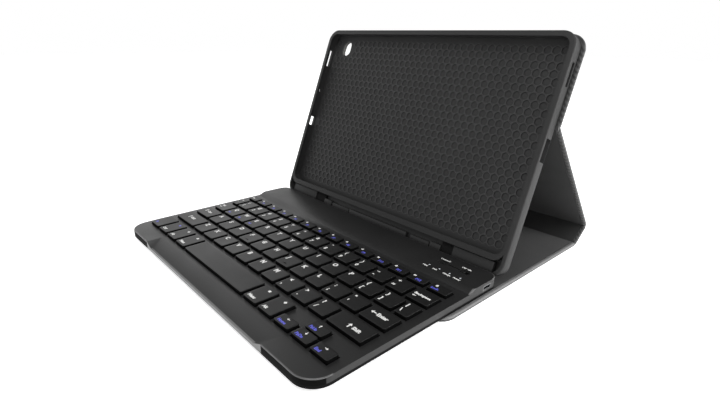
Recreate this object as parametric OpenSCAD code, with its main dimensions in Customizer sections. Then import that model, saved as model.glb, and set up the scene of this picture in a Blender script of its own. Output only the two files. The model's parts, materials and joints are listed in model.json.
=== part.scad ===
// Folio keyboard case for a 10-inch tablet, shown open as a stand.
// Origin: on the table, under the middle of the whole case. +Y runs from the keyboard's
// front edge to the folded spine, +Z is up.

/* [Tablet tray] */
// Outer width of the tray that clips round the tablet
tray_w = 252; // [236:1:262]
// Outer height of the tray, along its own slope
tray_h = 157.5; // [148:0.5:170]
// Depth of the tray, from the lip's face to its back
tray_t = 9.4; // [8.4:0.1:12]
// Side wall thickness of the tray
tray_wall = 3; // [2:0.1:4]
// How far the lip hangs over the tablet's edge
lip_over = 1; // [0.5:0.1:2]
// Thickness of the lip
lip_t = 1; // [0.6:0.1:1.6]
// Thickness of the tray's floor
floor_t = 1.2; // [1:0.1:2]
// Height of the chin below the tablet, along the tray's slope
chin = 11.5; // [9:0.1:11.6]
// Lean of the tray back from upright, in degrees
lean = 21.4; // [15:0.1:28]
// Distance of the crease above the tray's lower edge, along the tray
crease_up = 97; // [85:1:105]

/* [Folding cover] */
// Width of every cover panel
cover_w = 256; // [253:1:266]
// Length of the front cover panel that lies on the table
front_len = 170; // [150:1:172]
// Length of the spine between its two folds
spine_len = 18; // [16:0.5:20]
// Length of the stand panel between its two folds
stand_len = 113.8; // [108:0.1:118]
// Slope of the stand panel, in degrees from the table
stand_slope = 130; // [126:0.5:134]
// Thickness of the woven outer skin
skin_t = 0.8; // [0.5:0.1:1]
// Thickness of the stiff board inside each panel
board_t = 1.6; // [1:0.1:2]
// Thickness of the smooth lining
lining_t = 0.8; // [0.5:0.1:1]
// Corner radius of the cover's free corners
cover_r = 12; // [6:1:16]

/* [Keyboard] */
// Width of the keyboard
kb_w = 251.6; // [248:0.2:254]
// Depth of the keyboard, front edge to rear edge of the bar
kb_d = 154.5; // [153:0.5:154.5]
// Height of the key deck above the table
deck_z = 9.2; // [9:0.1:10]
// Height of the rear bar's top above the table
bar_z = 11.4; // [11:0.1:13]
// Radius of the front corners
kb_front_r = 14; // [8:1:16]
// Radius of the rear corners
kb_rear_r = 7; // [3:1:9]
// Wall thickness of the top shell
shell_t = 1.4; // [1:0.1:1.6]

/* [Keys] */
// Key pitch across the letter rows
pitch = 17.43; // [17.2:0.01:17.5]
// Width of a letter key
key_w = 14.6; // [14:0.1:15]
// Depth of a letter key
key_d = 14; // [13:0.1:14.4]
// Height of the key tops above the table
key_z = 11.4; // [11:0.1:12]
// Corner radius of a key
key_r = 1.3; // [0.6:0.1:2]
// Gap between a key and its window
key_gap = 0.35; // [0.3:0.05:0.5]

/* [Hidden] */

eps = 0.01;
cover_t = skin_t + board_t + lining_t;
glue_t = 0.4;              // adhesive sheet between back panel and tray
fold_gap = 0.6;            // bare fabric left on each side of a fold
board_inset = 2;           // board edge inside the skin and lining edge

// The fold chain, seen from the side as [y, z] points
lip_edge = [159.4, 17.6];  // front edge of the tray where the lip ends and the chin starts
up = [sin(lean), cos(lean)];
back = [cos(lean), -sin(lean)];
crease = lip_edge + crease_up * up + (tray_t + glue_t + cover_t) * back;
stand_dir = [cos(stand_slope), sin(stand_slope)];
stand_out = [sin(stand_slope), -cos(stand_slope)];
stand_fold = crease - stand_len * stand_dir - cover_t * stand_out;
spine_slope = asin((stand_fold[1] - cover_t) / spine_len);
front_fold = stand_fold - spine_len * [cos(spine_slope), sin(spine_slope)];
back_len = tray_h - crease_up + 1.3;
depth = stand_fold[0] + cover_t * stand_out[0] + fold_gap * stand_dir[0];
y_mid = depth / 2;

// Tray details, measured along the tray from its lip edge
tray_r = 11;
camera = [-104.8, 142];
camera_size = [12, 14];
camera_r = 5;
port_gap = [71, 87];       // gap for the tablet's charging plug, right wall
speaker_slot = [122, 138]; // speaker slots, both walls
jack_hole = [60.5, 69.5];  // square opening, left wall
mic_hole_up = 96.5;
chin_rim = 2.6;            // border left round the dip in the chin
chin_dip = 6;              // depth of that dip

// Blocks in the dip as [left x, right x, height of the top, depth of the face]
CHIN_BLOCKS = [
    [-67, 73, -0.9, 4.5], [-30.5, 38.5, -4.8, 1.2],
    [-117.2, -80.5, -0.9, 1.5], [-67, -56.5, -4.2, 1.5], [-54.8, -31.8, -5.2, 1.7],
    [84, 118, -0.9, 1.5], [63, 73, -4.2, 1.5], [43, 62, -5.2, 1.7]];

// Keyboard stack, heights above the table
kb_z = cover_t + 0.1;      // underside of the bottom shell
split_z = 5.2;             // joint line between the two shells
floor_z = kb_z + 1.1;
plate_z = 4.7;
plate_t = 0.5;
membrane_z = plate_z + plate_t + 0.05;
membrane_t = 0.35;
skirt_z = 8.4;             // lower edge of a key cap
ramp_y = [122.6, 127];     // slope from the deck up to the bar
scoop_y = 11;              // finger scoop in the front edge
scoop_half = 84;
scoop_end = 8;             // length of the facet at each end of the scoop
scoop_drop = 3.4;
solid_front = 12.4;        // the front margin is solid, so the scoop meets no hollow

// Key rows as [front y, back y]
bottom_row = [15.9, 33.4];
shift_row_y = 37.7;
row_step = 17.3;
function row_span(i) = [shift_row_y + i * row_step, shift_row_y + i * row_step + key_d];
function_row = [107.2, 115.4];
low_half = [15.9, 24.1];
high_half = [25.2, 33.4];
field = 118.8;             // half width of the whole key field
gap_x = pitch - key_w;
fkey_pitch = 17.28;
fkey_w = 14.2;
mod_w = 14.2;

// Right edge of the first letter key in the Z, A, Q and number rows
row_start = [-69.6, -79.4, -85.5, -92.9];

// A key is [left x, right x, front y, back y]
function run(first_right, step, w, n, span) =
    [for (i = [0:n - 1]) [first_right + i * step - w, first_right + i * step, span[0], span[1]]];
function one(left, right, span) = [left, right, span[0], span[1]];

BOTTOM_LETTERS = run(row_start[0], pitch, key_w, 10, row_span(0));
HOME_LETTERS = run(row_start[1], pitch, key_w, 11, row_span(1));
TOP_LETTERS = concat(run(row_start[2], pitch, key_w, 12, row_span(2)),
    [one(row_start[2] + 11 * pitch + gap_x, field, row_span(2))]);
NUMBERS = concat([one(-field, row_start[3] - pitch, row_span(3))],
    run(row_start[3], pitch, key_w, 12, row_span(3)));
FUNCTIONS = run(-106.8 + fkey_pitch, fkey_pitch, fkey_w, 12, function_row);
ESCAPE = one(-field, -106.8, function_row);
LOCK = one(-106.8 + 13 * fkey_pitch - fkey_w, field, function_row);
BACKSPACE = one(row_start[3] + 11 * pitch + gap_x, field, row_span(3));
TAB = one(-field, row_start[2] - pitch, row_span(2));
CAPS = one(-field, row_start[1] - pitch, row_span(1));
ENTER = one(row_start[1] + 10 * pitch + gap_x, field, row_span(1));
LEFT_SHIFT = one(-field, row_start[0] - pitch, row_span(0));
RIGHT_SHIFT = one(row_start[0] + 9 * pitch + gap_x, field, row_span(0));
FN = one(-field, -104, bottom_row);
CTRL = one(-87 - mod_w, -87, bottom_row);
LEFT_ALT = one(-70 - mod_w, -70, bottom_row);
LEFT_SYSTEM = one(-53 - mod_w, -53, bottom_row);
SPACE = one(-50.2, 33.8, bottom_row);
RIGHT_SYSTEM = one(50.8 - mod_w, 50.8, bottom_row);
RIGHT_ALT = one(67.8 - mod_w, 67.8, bottom_row);
LEFT_ARROW = one(84.8 - mod_w, 84.8, low_half);
DOWN_ARROW = one(101.8 - mod_w, 101.8, low_half);
UP_ARROW = one(101.8 - mod_w, 101.8, high_half);
RIGHT_ARROW = one(field - mod_w, field, low_half);
SINGLES = [ESCAPE, LOCK, BACKSPACE, TAB, CAPS, ENTER, LEFT_SHIFT, RIGHT_SHIFT, FN, CTRL,
    LEFT_ALT, LEFT_SYSTEM, SPACE, RIGHT_SYSTEM, RIGHT_ALT, LEFT_ARROW, UP_ARROW, DOWN_ARROW,
    RIGHT_ARROW];
ALL_KEYS = concat(BOTTOM_LETTERS, HOME_LETTERS, TOP_LETTERS, NUMBERS, FUNCTIONS, SINGLES);

// Rear bar controls
bar_inner_z = bar_z - shell_t;
lamp_x = [85.6, 94.2, 102.8, 111.4];
lamp_y = 131.9;
control_y = 141.3;
button_x = 89.5;
knob_x = 106.6;            // knob at rest, at the off end of its slot
knob_travel = 2.6;
pocket_w = 9;
pocket_d = 4.5;
board_z = 5.4;
board_thick = 1;
socket_y = 141.3;

SCREWS = [for (x = [-105, -35, 35, 105]) for (y = [35.55, 105.4]) [x, y]];
MAGNET_X = [-100, -34, 34, 100];
kb_magnet_y = kb_d - 4.7;
chin_magnet_y = 160;
chin_magnet_up = -5.8;
magnet_size = [20, 5];

// ---- Shared shapes ----

// Rectangle with round corners, one corner at the origin
module round_rect(w, d, r) {
    translate([r, 0]) square([w - 2 * r, d]);
    translate([0, r]) square([w, d - 2 * r]);
    for (x = [r, w - r]) for (y = [r, d - r]) translate([x, y]) circle(r, $fn = 48);
}

// Rectangle centred on X whose far corners are round and near corners are square
module far_round(w, d, r) {
    translate([-w / 2, 0]) square([w, d - r]);
    translate([-w / 2 + r, 0]) square([w - 2 * r, d]);
    for (s = [-1, 1]) translate([s * (w / 2 - r), d - r]) circle(r, $fn = 64);
}

module capsule(w, d) {
    translate([-w / 2 + d / 2, -d / 2]) square([w - d, d]);
    for (s = [-1, 1]) translate([s * (w / 2 - d / 2), 0]) circle(d = d, $fn = 32);
}

module to_row() translate([0, -y_mid, 0]) children();
module on_spine() to_row() translate([0, front_fold[0], front_fold[1]])
    rotate([spine_slope, 0, 0]) translate([0, 0, -cover_t]) children();
module on_stand() to_row() translate([0, stand_fold[0], stand_fold[1]])
    rotate([stand_slope, 0, 0]) translate([0, 0, -cover_t]) children();
module on_back() to_row() translate([0, crease[0], crease[1]])
    rotate([90 - lean, 0, 0]) children();
module on_tray() to_row() translate([0, lip_edge[0], lip_edge[1]])
    rotate([90 - lean, 0, 0]) children();

// One layer of a cover panel: skin, board or lining
module layer(len, w, z, t, inset = 0) {
    translate([-w / 2 + inset, fold_gap + inset, z])
        cube([w - 2 * inset, len - 2 * fold_gap - 2 * inset, t]);
}

module free_layer(len, w, z, t, inset = 0) {
    translate([0, fold_gap + inset, z]) linear_extrude(t)
        far_round(w - 2 * inset, len - fold_gap - 2 * inset, cover_r - inset);
}

// ---- Front cover, flat on the table ----

module front_layer(z, t, inset = 0) {
    to_row() translate([0, front_fold[0], 0]) mirror([0, 1, 0])
        free_layer(front_len, cover_w, z, t, inset);
}

module magnet_bars(x_list, size, t) {
    for (x = x_list) translate([x - size[0] / 2, -size[1] / 2, 0]) cube([size[0], size[1], t]);
}

module front_cover_skin() color("#262626") front_layer(0, skin_t);
module front_cover_board() color("#5a5a58") difference() {
    front_layer(skin_t, board_t, board_inset);
    to_row() for (y = [kb_magnet_y, chin_magnet_y]) translate([0, y, skin_t - eps])
        magnet_bars(MAGNET_X, magnet_size + [0.4, 0.4], board_t + 2 * eps);
}
module front_cover_lining() color("#3a3a3a") front_layer(skin_t + board_t, lining_t);
module front_cover_magnets() color("#8d8f92") to_row()
    for (y = [kb_magnet_y, chin_magnet_y]) translate([0, y, skin_t + 0.1])
        magnet_bars(MAGNET_X, magnet_size, board_t - 0.2);

// ---- Spine and stand panel ----

module spine_skin() color("#262626") on_spine() layer(spine_len, cover_w, 0, skin_t);
module spine_board() color("#5a5a58") on_spine()
    layer(spine_len, cover_w, skin_t, board_t, board_inset);
module spine_lining() color("#303030") on_spine()
    layer(spine_len, cover_w, skin_t + board_t, lining_t);
module stand_panel_skin() color("#262626") on_stand() layer(stand_len, cover_w, 0, skin_t);
module stand_panel_board() color("#5a5a58") on_stand()
    layer(stand_len, cover_w, skin_t, board_t, board_inset);
module stand_panel_lining() color("#303030") on_stand()
    layer(stand_len, cover_w, skin_t + board_t, lining_t);

// ---- Back panel glued to the tray ----

module camera_window(z, h, grow = 0) {
    w = camera_size[0] + 2 * grow;
    d = camera_size[1] + 2 * grow;
    translate([camera[0] - w / 2, camera[1] - d / 2, z]) linear_extrude(h)
        round_rect(w, d, camera_r + grow);
}

module back_layer(z, t, inset = 0) {
    on_back() difference() {
        free_layer(back_len, cover_w, z, t, inset);
        translate([0, -crease_up, 0]) camera_window(z - 1, t + 2, 0.6 + inset / 4);
    }
}

module back_panel_skin() color("#262626") back_layer(0, skin_t);
module back_panel_board() color("#5a5a58") back_layer(skin_t, board_t, board_inset);
module back_panel_lining() color("#303030") back_layer(skin_t + board_t, lining_t);
module tray_adhesive() color("#d8d4c4") on_back() difference() {
    translate([-115, 8, cover_t]) cube([230, 44, glue_t]);
    translate([0, -crease_up, 0]) camera_window(cover_t - 1, glue_t + 2, 2);
}

// ---- Tablet tray: floor, walls, an overhanging lip, and a chin that stands on the cover ----

module tray_cavity() {
    inner_w = tray_w - 2 * tray_wall;
    inner_h = tray_h - 2 * tray_wall;
    translate([-inner_w / 2, tray_wall, floor_t - tray_t])
        linear_extrude(tray_t - floor_t - lip_t) round_rect(inner_w, inner_h, tray_r - tray_wall);
    translate([-inner_w / 2 + lip_over, tray_wall + lip_over, -lip_t - eps])
        linear_extrude(lip_t + 1)
            round_rect(inner_w - 2 * lip_over, inner_h - 2 * lip_over, tray_r - tray_wall - lip_over);
}

// Long dip in the front of the chin, between the tray's outer edge and the lip's round corners
module chin_hollow() {
    inner_w = tray_w - 2 * chin_rim;
    translate([0, 0, -chin_dip]) linear_extrude(chin_dip + 1) difference() {
        translate([-inner_w / 2, chin_rim - chin]) round_rect(inner_w, tray_h / 2, tray_r - chin_rim);
        translate([-inner_w / 2 - 0.3, -0.3]) round_rect(inner_w + 0.6, tray_h, 9);
    }
}

module chin_blocks() {
    for (b = CHIN_BLOCKS) translate([b[0], 1 - chin, -chin_dip - 0.5])
        cube([b[1] - b[0], chin - 1 + b[2], chin_dip + 0.5 - b[3]]);
}

module tablet_tray() color("#2b2b2b") on_tray() difference() {
    union() {
        difference() {
            translate([-tray_w / 2, -chin, -tray_t]) linear_extrude(tray_t)
                round_rect(tray_w, tray_h + chin, tray_r);
            chin_hollow();
        }
        chin_blocks();
    }
    translate([0, chin_magnet_up, -tray_t - 1]) magnet_bars(MAGNET_X, magnet_size + [0.4, 0.4], 3);
    tray_cavity();
    camera_window(-tray_t - 1, floor_t + 2);
    wall_x = tray_w / 2 - tray_wall - 0.5;
    // plug gap and speaker slot in the right wall
    translate([wall_x, port_gap[0], floor_t - tray_t])
        cube([tray_wall + 1, port_gap[1] - port_gap[0], tray_t - floor_t - 2.2]);
    translate([wall_x, speaker_slot[0], -6.6])
        cube([tray_wall + 1, speaker_slot[1] - speaker_slot[0], 3]);
    // speaker slot, microphone hole and square opening in the left wall
    translate([-wall_x - tray_wall - 1, speaker_slot[0], -7])
        cube([tray_wall + 1, speaker_slot[1] - speaker_slot[0], 3.6]);
    translate([-wall_x + 0.5, mic_hole_up, -4.4]) rotate([0, -90, 0])
        cylinder(d = 2.4, h = tray_wall + 2, $fn = 32);
    translate([-wall_x - tray_wall - 1, jack_hole[0], -7.4])
        cube([tray_wall + 1, jack_hole[1] - jack_hole[0], 5.2]);
}

module chin_magnets() color("#8d8f92") on_tray()
    translate([0, chin_magnet_up, -tray_t + 0.1]) magnet_bars(MAGNET_X, magnet_size, 1.8);

// ---- Keyboard shells ----

// Outline of the keyboard from above, moved in by inset
module kb_plan(inset = 0) {
    w = kb_w - 2 * inset;
    fr = kb_front_r - inset;
    rr = kb_rear_r - inset;
    translate([-w / 2, inset + fr]) square([w, kb_d - 2 * inset - fr - rr]);
    translate([-w / 2 + fr, inset]) square([w - 2 * fr, fr + eps]);
    translate([-w / 2 + rr, kb_d - inset - rr - eps]) square([w - 2 * rr, rr + eps]);
    for (s = [-1, 1]) {
        translate([s * (w / 2 - fr), inset + fr]) circle(fr, $fn = 64);
        translate([s * (w / 2 - rr), kb_d - inset - rr]) circle(rr, $fn = 48);
    }
}

// Block under the deck, ramp and bar from front_y back, lowered by drop
module kb_block(z0, front_y, inset, drop) {
    intersection() {
        translate([0, 0, z0]) linear_extrude(bar_z) kb_plan(inset);
        translate([-kb_w, 0, 0]) rotate([90, 0, 90]) linear_extrude(2 * kb_w)
            polygon([[front_y, z0], [front_y, deck_z - drop], [ramp_y[0], deck_z - drop],
                [ramp_y[1], bar_z - drop], [kb_d + 1, bar_z - drop], [kb_d + 1, z0]]);
    }
}

module key_windows() {
    for (k = ALL_KEYS) translate([k[0] - key_gap, k[2] - key_gap, deck_z - shell_t - 1])
        cube([k[1] - k[0] + 2 * key_gap, k[3] - k[2] + 2 * key_gap, shell_t + 2]);
}

// Sloping dip in the middle of the front edge, with a sloping facet at each end
module finger_scoop() {
    reach = 2 * kb_w;
    intersection() {
        translate([-kb_w / 2, scoop_y, deck_z]) rotate([atan(scoop_drop / scoop_y), 0, 0])
            translate([0, -2 * scoop_y, 0]) cube([kb_w, 2 * scoop_y, 8]);
        for_both_ends() translate([scoop_half, -scoop_y, deck_z])
            rotate([0, -atan(scoop_drop / scoop_end), 0])
                translate([-reach, 0, 0]) cube([reach, 4 * scoop_y, reach]);
    }
}

module for_both_ends() intersection() {
    children();
    mirror([1, 0, 0]) children();
}

module bar_pockets() {
    pocket_z = bar_z - 0.6;
    translate([button_x, control_y, pocket_z]) linear_extrude(1) capsule(pocket_w, pocket_d);
    translate([knob_x + knob_travel / 2, control_y, pocket_z]) linear_extrude(1)
        capsule(pocket_w, pocket_d);
    translate([button_x, control_y - 0.6, pocket_z])
        cube([knob_x - button_x, 1.2, 1]);
    translate([button_x, control_y, bar_z - 3]) linear_extrude(4) capsule(5.6, 3);
    translate([knob_x + knob_travel / 2, control_y - 1.4, bar_z - 3])
        translate([-3.4, 0, 0]) cube([6.8, 2.8, 4]);
    for (x = lamp_x) translate([x, lamp_y, bar_z - 3]) cylinder(d = 1.3, h = 4, $fn = 24);
}

module screw_boss() cylinder(d = 3, h = deck_z - shell_t - floor_z + 0.4, $fn = 32);

module keyboard_top_shell() color("#2e2e2e") to_row() difference() {
    union() {
        difference() {
            kb_block(split_z, -1, 0, 0);
            kb_block(split_z - 1, solid_front, shell_t, shell_t);
        }
        for (p = SCREWS) translate([p[0], p[1], floor_z + 0.02]) screw_boss();
    }
    key_windows();
    finger_scoop();
    bar_pockets();
    for (p = SCREWS) translate([p[0], p[1], kb_z])
        cylinder(d = 1.7, h = 4.6, $fn = 32);
    translate([kb_w / 2 - 3, socket_y - 4.3, 6.3]) cube([4, 8.6, 3.2]);
}

module keyboard_bottom_shell() color("#292929") to_row() difference() {
    translate([0, 0, kb_z]) linear_extrude(split_z - kb_z - 0.02) kb_plan();
    translate([0, 0, floor_z]) linear_extrude(bar_z) kb_plan(shell_t);
    for (p = SCREWS) translate([p[0], p[1], kb_z - 1]) {
        cylinder(d = 1.9, h = 5, $fn = 32);
        cylinder(d = 3.2, h = 1.7, $fn = 32);
    }
}

// ---- Keyboard internals ----

module key_sheet(z, t) {
    translate([-field - 2, bottom_row[0] - 3, z]) difference() {
        cube([2 * field + 4, function_row[1] - bottom_row[0] + 6, t]);
        for (p = SCREWS) translate([p[0] + field + 2, p[1] - bottom_row[0] + 3, -1])
            cylinder(d = 4.2, h = t + 2, $fn = 32);
    }
}

module key_support_plate() color("#9a9da0") to_row() key_sheet(plate_z, plate_t);
module key_membrane() color("#c9c9b8") to_row() key_sheet(membrane_z, membrane_t);

module at_key_centre(k) translate([(k[0] + k[1]) / 2, (k[2] + k[3]) / 2, 0]) children();

// Folded scissor frames, one ring under each key
module scissor_frames() color("#e4e4de") to_row() {
    z = membrane_z + membrane_t + 0.05;
    for (k = ALL_KEYS) at_key_centre(k) {
        w = min(k[1] - k[0] - 2, 11);
        d = min(k[3] - k[2] - 1.4, 9.6);
        translate([-w / 2, -d / 2, z]) difference() {
            cube([w, d, 0.9]);
            translate([0.8, 0.8, -1]) cube([w - 1.6, d - 1.6, 3]);
        }
    }
}

// Silicone domes, drawn pressed down so that they stay clear of a key's whole travel
module rubber_domes() color("#b9bcc0") to_row() {
    z = membrane_z + membrane_t + 0.05;
    for (k = ALL_KEYS) at_key_centre(k) translate([0, 0, z])
        cylinder(d1 = 4.6, d2 = 2.6, h = 1.9, $fn = 32);
}

module circuit_board() color("#1f5a34") to_row()
    translate([-40, 130, board_z]) cube([162, 16.8, board_thick]);
module battery() color("#b8bcc2") to_row()
    translate([-112, 129.5, floor_z + 0.2]) cube([66, 17, 4.4]);
module charge_socket() color("#c8cacc") to_row()
    translate([kb_w / 2 - 6.4, socket_y - 3.9, board_z + board_thick]) difference() {
        cube([6.2, 7.8, 2.7]);
        translate([0.8, 0.5, 0.5]) cube([6, 6.8, 1.7]);
    }
module indicator_lamps() color("#d9dde2") to_row()
    for (x = lamp_x) translate([x, lamp_y, board_z + board_thick])
        cylinder(d = 1.2, h = bar_z - board_z - board_thick - 0.05, $fn = 24);
module button_switch() color("#d0d0d0") to_row()
    translate([button_x - 2.2, control_y - 1.8, board_z + board_thick]) cube([4.4, 3.6, 1.5]);
module power_switch_base() color("#c4c6c8") to_row()
    translate([knob_x + knob_travel / 2 - 4.4, control_y - 1.8, board_z + board_thick])
        cube([8.8, 3.6, 1.5]);
module case_screws() color("#6d6f72") to_row()
    for (p = SCREWS) translate([p[0], p[1], kb_z + 0.05]) {
        cylinder(d = 2.9, h = 0.6, $fn = 32);
        cylinder(d = 1.6, h = 4.2, $fn = 32);
    }
module keyboard_magnets() color("#8d8f92") to_row()
    translate([0, kb_magnet_y, floor_z + 0.1]) magnet_bars(MAGNET_X, magnet_size, 2.4);
module rubber_feet() color("#1c1c1c") to_row()
    for (s = [-1, 1]) translate([s * 92 - 17, 16, 0])
        linear_extrude(kb_z - 0.02) round_rect(34, 7, 3.4);

// ---- Moving controls ----

module power_switch_knob() color("#343434") to_row()
    translate([knob_x - 1.8, control_y - 1.2, board_z + board_thick + 1.6])
        cube([3.6, 2.4, bar_z - board_z - board_thick - 1.7]);
module connect_button() color("#343434") to_row()
    translate([button_x, control_y, board_z + board_thick + 1.9])
        linear_extrude(bar_z - board_z - board_thick - 2.1) capsule(5, 2.4);

// A key cap: rounded top with an open pocket below
module cap(k) {
    w = k[1] - k[0];
    d = k[3] - k[2];
    translate([k[0], k[2], skirt_z]) difference() {
        linear_extrude(key_z - skirt_z) round_rect(w, d, key_r);
        translate([1.1, 1.1, -1]) cube([w - 2.2, d - 2.2, key_z - skirt_z - 0.2]);
    }
}
module caps(list) color("#303030") to_row() for (k = list) cap(k);

module function_keys() caps(FUNCTIONS);
module number_keys() caps(NUMBERS);
module top_letter_keys() caps(TOP_LETTERS);
module home_letter_keys() caps(HOME_LETTERS);
module bottom_letter_keys() caps(BOTTOM_LETTERS);
module escape_key() caps([ESCAPE]);
module lock_key() caps([LOCK]);
module backspace_key() caps([BACKSPACE]);
module tab_key() caps([TAB]);
module caps_lock_key() caps([CAPS]);
module enter_key() caps([ENTER]);
module left_shift_key() caps([LEFT_SHIFT]);
module right_shift_key() caps([RIGHT_SHIFT]);
module fn_key() caps([FN]);
module ctrl_key() caps([CTRL]);
module left_alt_key() caps([LEFT_ALT]);
module left_system_key() caps([LEFT_SYSTEM]);
module space_key() caps([SPACE]);
module right_system_key() caps([RIGHT_SYSTEM]);
module right_alt_key() caps([RIGHT_ALT]);
module left_arrow_key() caps([LEFT_ARROW]);
module up_arrow_key() caps([UP_ARROW]);
module down_arrow_key() caps([DOWN_ARROW]);
module right_arrow_key() caps([RIGHT_ARROW]);

front_cover_skin();
front_cover_board();
front_cover_lining();
front_cover_magnets();
spine_skin();
spine_board();
spine_lining();
stand_panel_skin();
stand_panel_board();
stand_panel_lining();
back_panel_skin();
back_panel_board();
back_panel_lining();
tray_adhesive();
tablet_tray();
chin_magnets();
keyboard_top_shell();
keyboard_bottom_shell();
key_support_plate();
key_membrane();
scissor_frames();
rubber_domes();
circuit_board();
battery();
charge_socket();
indicator_lamps();
button_switch();
power_switch_base();
keyboard_magnets();
rubber_feet();
case_screws();
power_switch_knob();
connect_button();
function_keys();
number_keys();
top_letter_keys();
home_letter_keys();
bottom_letter_keys();
escape_key();
lock_key();
backspace_key();
tab_key();
caps_lock_key();
enter_key();
left_shift_key();
right_shift_key();
fn_key();
ctrl_key();
left_alt_key();
left_system_key();
space_key();
right_system_key();
right_alt_key();
left_arrow_key();
up_arrow_key();
down_arrow_key();
right_arrow_key();
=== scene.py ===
"""Looks of a folio keyboard case for a 10-inch tablet: cloth cover, moulded tray, thin keyboard."""
import json
import math

import bmesh
import bpy
from mathutils import Matrix, Vector


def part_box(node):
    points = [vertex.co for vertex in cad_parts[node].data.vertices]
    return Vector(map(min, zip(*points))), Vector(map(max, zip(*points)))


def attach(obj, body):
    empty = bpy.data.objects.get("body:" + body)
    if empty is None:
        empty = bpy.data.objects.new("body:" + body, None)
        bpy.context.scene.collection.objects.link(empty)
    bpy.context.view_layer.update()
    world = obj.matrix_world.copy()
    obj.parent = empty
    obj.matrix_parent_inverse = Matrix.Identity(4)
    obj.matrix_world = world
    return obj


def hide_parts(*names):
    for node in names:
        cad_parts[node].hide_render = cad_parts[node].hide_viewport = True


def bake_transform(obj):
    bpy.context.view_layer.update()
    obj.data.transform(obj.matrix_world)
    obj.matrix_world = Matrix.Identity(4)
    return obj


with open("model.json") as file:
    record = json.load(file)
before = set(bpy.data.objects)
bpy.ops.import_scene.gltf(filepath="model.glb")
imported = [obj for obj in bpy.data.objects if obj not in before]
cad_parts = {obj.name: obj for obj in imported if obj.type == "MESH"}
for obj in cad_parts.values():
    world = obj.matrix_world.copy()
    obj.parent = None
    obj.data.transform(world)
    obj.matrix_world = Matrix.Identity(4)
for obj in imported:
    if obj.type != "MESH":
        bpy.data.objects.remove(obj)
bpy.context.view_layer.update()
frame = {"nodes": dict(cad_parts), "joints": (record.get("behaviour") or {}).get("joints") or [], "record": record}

# ---- Camera ----
# A short lens close to the right front corner of the keyboard, looking down at 20 degrees.
# Its place is in millimetres, and its turns are in degrees.
MM = 0.001
CAMERA_AT = Vector((267.4, -237.2, 159.7))
HEADING, LOOK_DOWN, ROLL = 47.94, 19.73, 0.57
camera_data = bpy.data.cameras.new("camera")
camera_data.sensor_width = 36
camera_data.lens = 23.35
camera_data.clip_start = 0.01
camera = bpy.data.objects.new("camera", camera_data)
camera.matrix_world = (
    Matrix.Translation(CAMERA_AT * MM)
    @ Matrix.Rotation(math.radians(HEADING), 4, "Z")
    @ Matrix.Rotation(math.radians(90 - LOOK_DOWN), 4, "X")
    @ Matrix.Rotation(math.radians(ROLL), 4, "Z")
)
bpy.context.scene.collection.objects.link(camera)
bpy.context.scene.camera = camera
bpy.context.scene.view_settings.view_transform = "Standard"


# ---- Woven cover cloth ----
# Polyester twill laminated to a thin film: matte black, with a fine diagonal rib.
# It follows the cover's own unfolded length, kept on each piece as the "cloth" attribute.
def linear(hex_code, share=1.0):
    """An sRGB hex colour, or a share of its light, as the linear values a shader takes."""
    parts = [int(hex_code[i:i + 2], 16) / 255 for i in (1, 3, 5)]
    values = [c / 12.92 if c <= 0.04045 else ((c + 0.055) / 1.055) ** 2.4 for c in parts]
    return [share * c for c in values] + [1.0]


def add(material, kind, settings=None, **links):
    """Adds a shader node, sets its settings or sockets by name, and links its inputs."""
    node = material.node_tree.nodes.new("ShaderNode" + kind)
    for name, value in (settings or {}).items():
        if hasattr(node, name) and name not in node.inputs:
            setattr(node, name, value)
        else:
            node.inputs[name].default_value = value
    for name, source in links.items():
        material.node_tree.links.new(source, node.inputs[name.replace("_", " ")])
    return node


def new_material(name, settings=None):
    """An empty material with its finished surface node."""
    material = bpy.data.materials.new(name)
    material.use_nodes = True
    material.node_tree.nodes.clear()
    surface = add(material, "BsdfPrincipled", settings)
    add(material, "OutputMaterial", None, Surface=surface.outputs[0])
    return material, surface


def feed(material, source, node, socket):
    """Links an output to one input of another node."""
    material.node_tree.links.new(source, node.inputs[socket])


def noise_scale(size):
    """The noise scale that gives blotches of this size in millimetres."""
    return 1 / (size * MM)


def two_tone(material, surface, drift, tones, relief=None, strength=0.0, depth=0.0):
    """Lets the colour drift between two tones, over a relief of depth millimetres."""
    tone = add(material, "ValToRGB", None, Fac=drift.outputs["Fac"])
    for stop, colour in zip(tone.color_ramp.elements, tones):
        stop.color = colour
    feed(material, tone.outputs["Color"], surface, "Base Color")
    if relief is not None:
        bump = add(material, "Bump", {"Strength": strength, "Distance": depth * MM}, Height=relief.outputs[0])
        feed(material, bump.outputs["Normal"], surface, "Normal")
    return tone


# The yarn is rough, with a faint sheen that lifts the cloth where it is seen at a slant.
# Real ribs are about 0.5 mm apart: these are 2.6 mm apart, so that they show in the render.
# A diagonal wave turns 10 radians for each unit of x + y, and that grows sqrt(2) times as
# fast as the distance across the ribs.
RIB_PITCH = 2.587
SLUB = 1.11
twill, surface = new_material(
    "polyester_twill", {"Roughness": 0.78, "Sheen Weight": 0.22, "Sheen Roughness": 0.5})
unfolded = add(twill, "Attribute", {"attribute_name": "cloth"}).outputs["Vector"]
ribs = add(
    twill,
    "TexWave",
    {"wave_type": "BANDS", "bands_direction": "DIAGONAL", "Distortion": 0.4, "Detail": 1.0,
     "Scale": 2 * math.pi / (10 * math.sqrt(2) * RIB_PITCH * MM)},
    Vector=unfolded,
)
slubs = add(twill, "TexNoise", {"Scale": noise_scale(SLUB), "Detail": 3.0}, Vector=unfolded)
height = add(twill, "Math", {"operation": "ADD"})
feed(twill, ribs.outputs["Fac"], height, 0)
feed(twill, slubs.outputs["Fac"], height, 1)
two_tone(twill, surface, ribs, [linear("#0b0b0b"), linear("#3a3a3a")], height, 0.55, 0.2)

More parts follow.
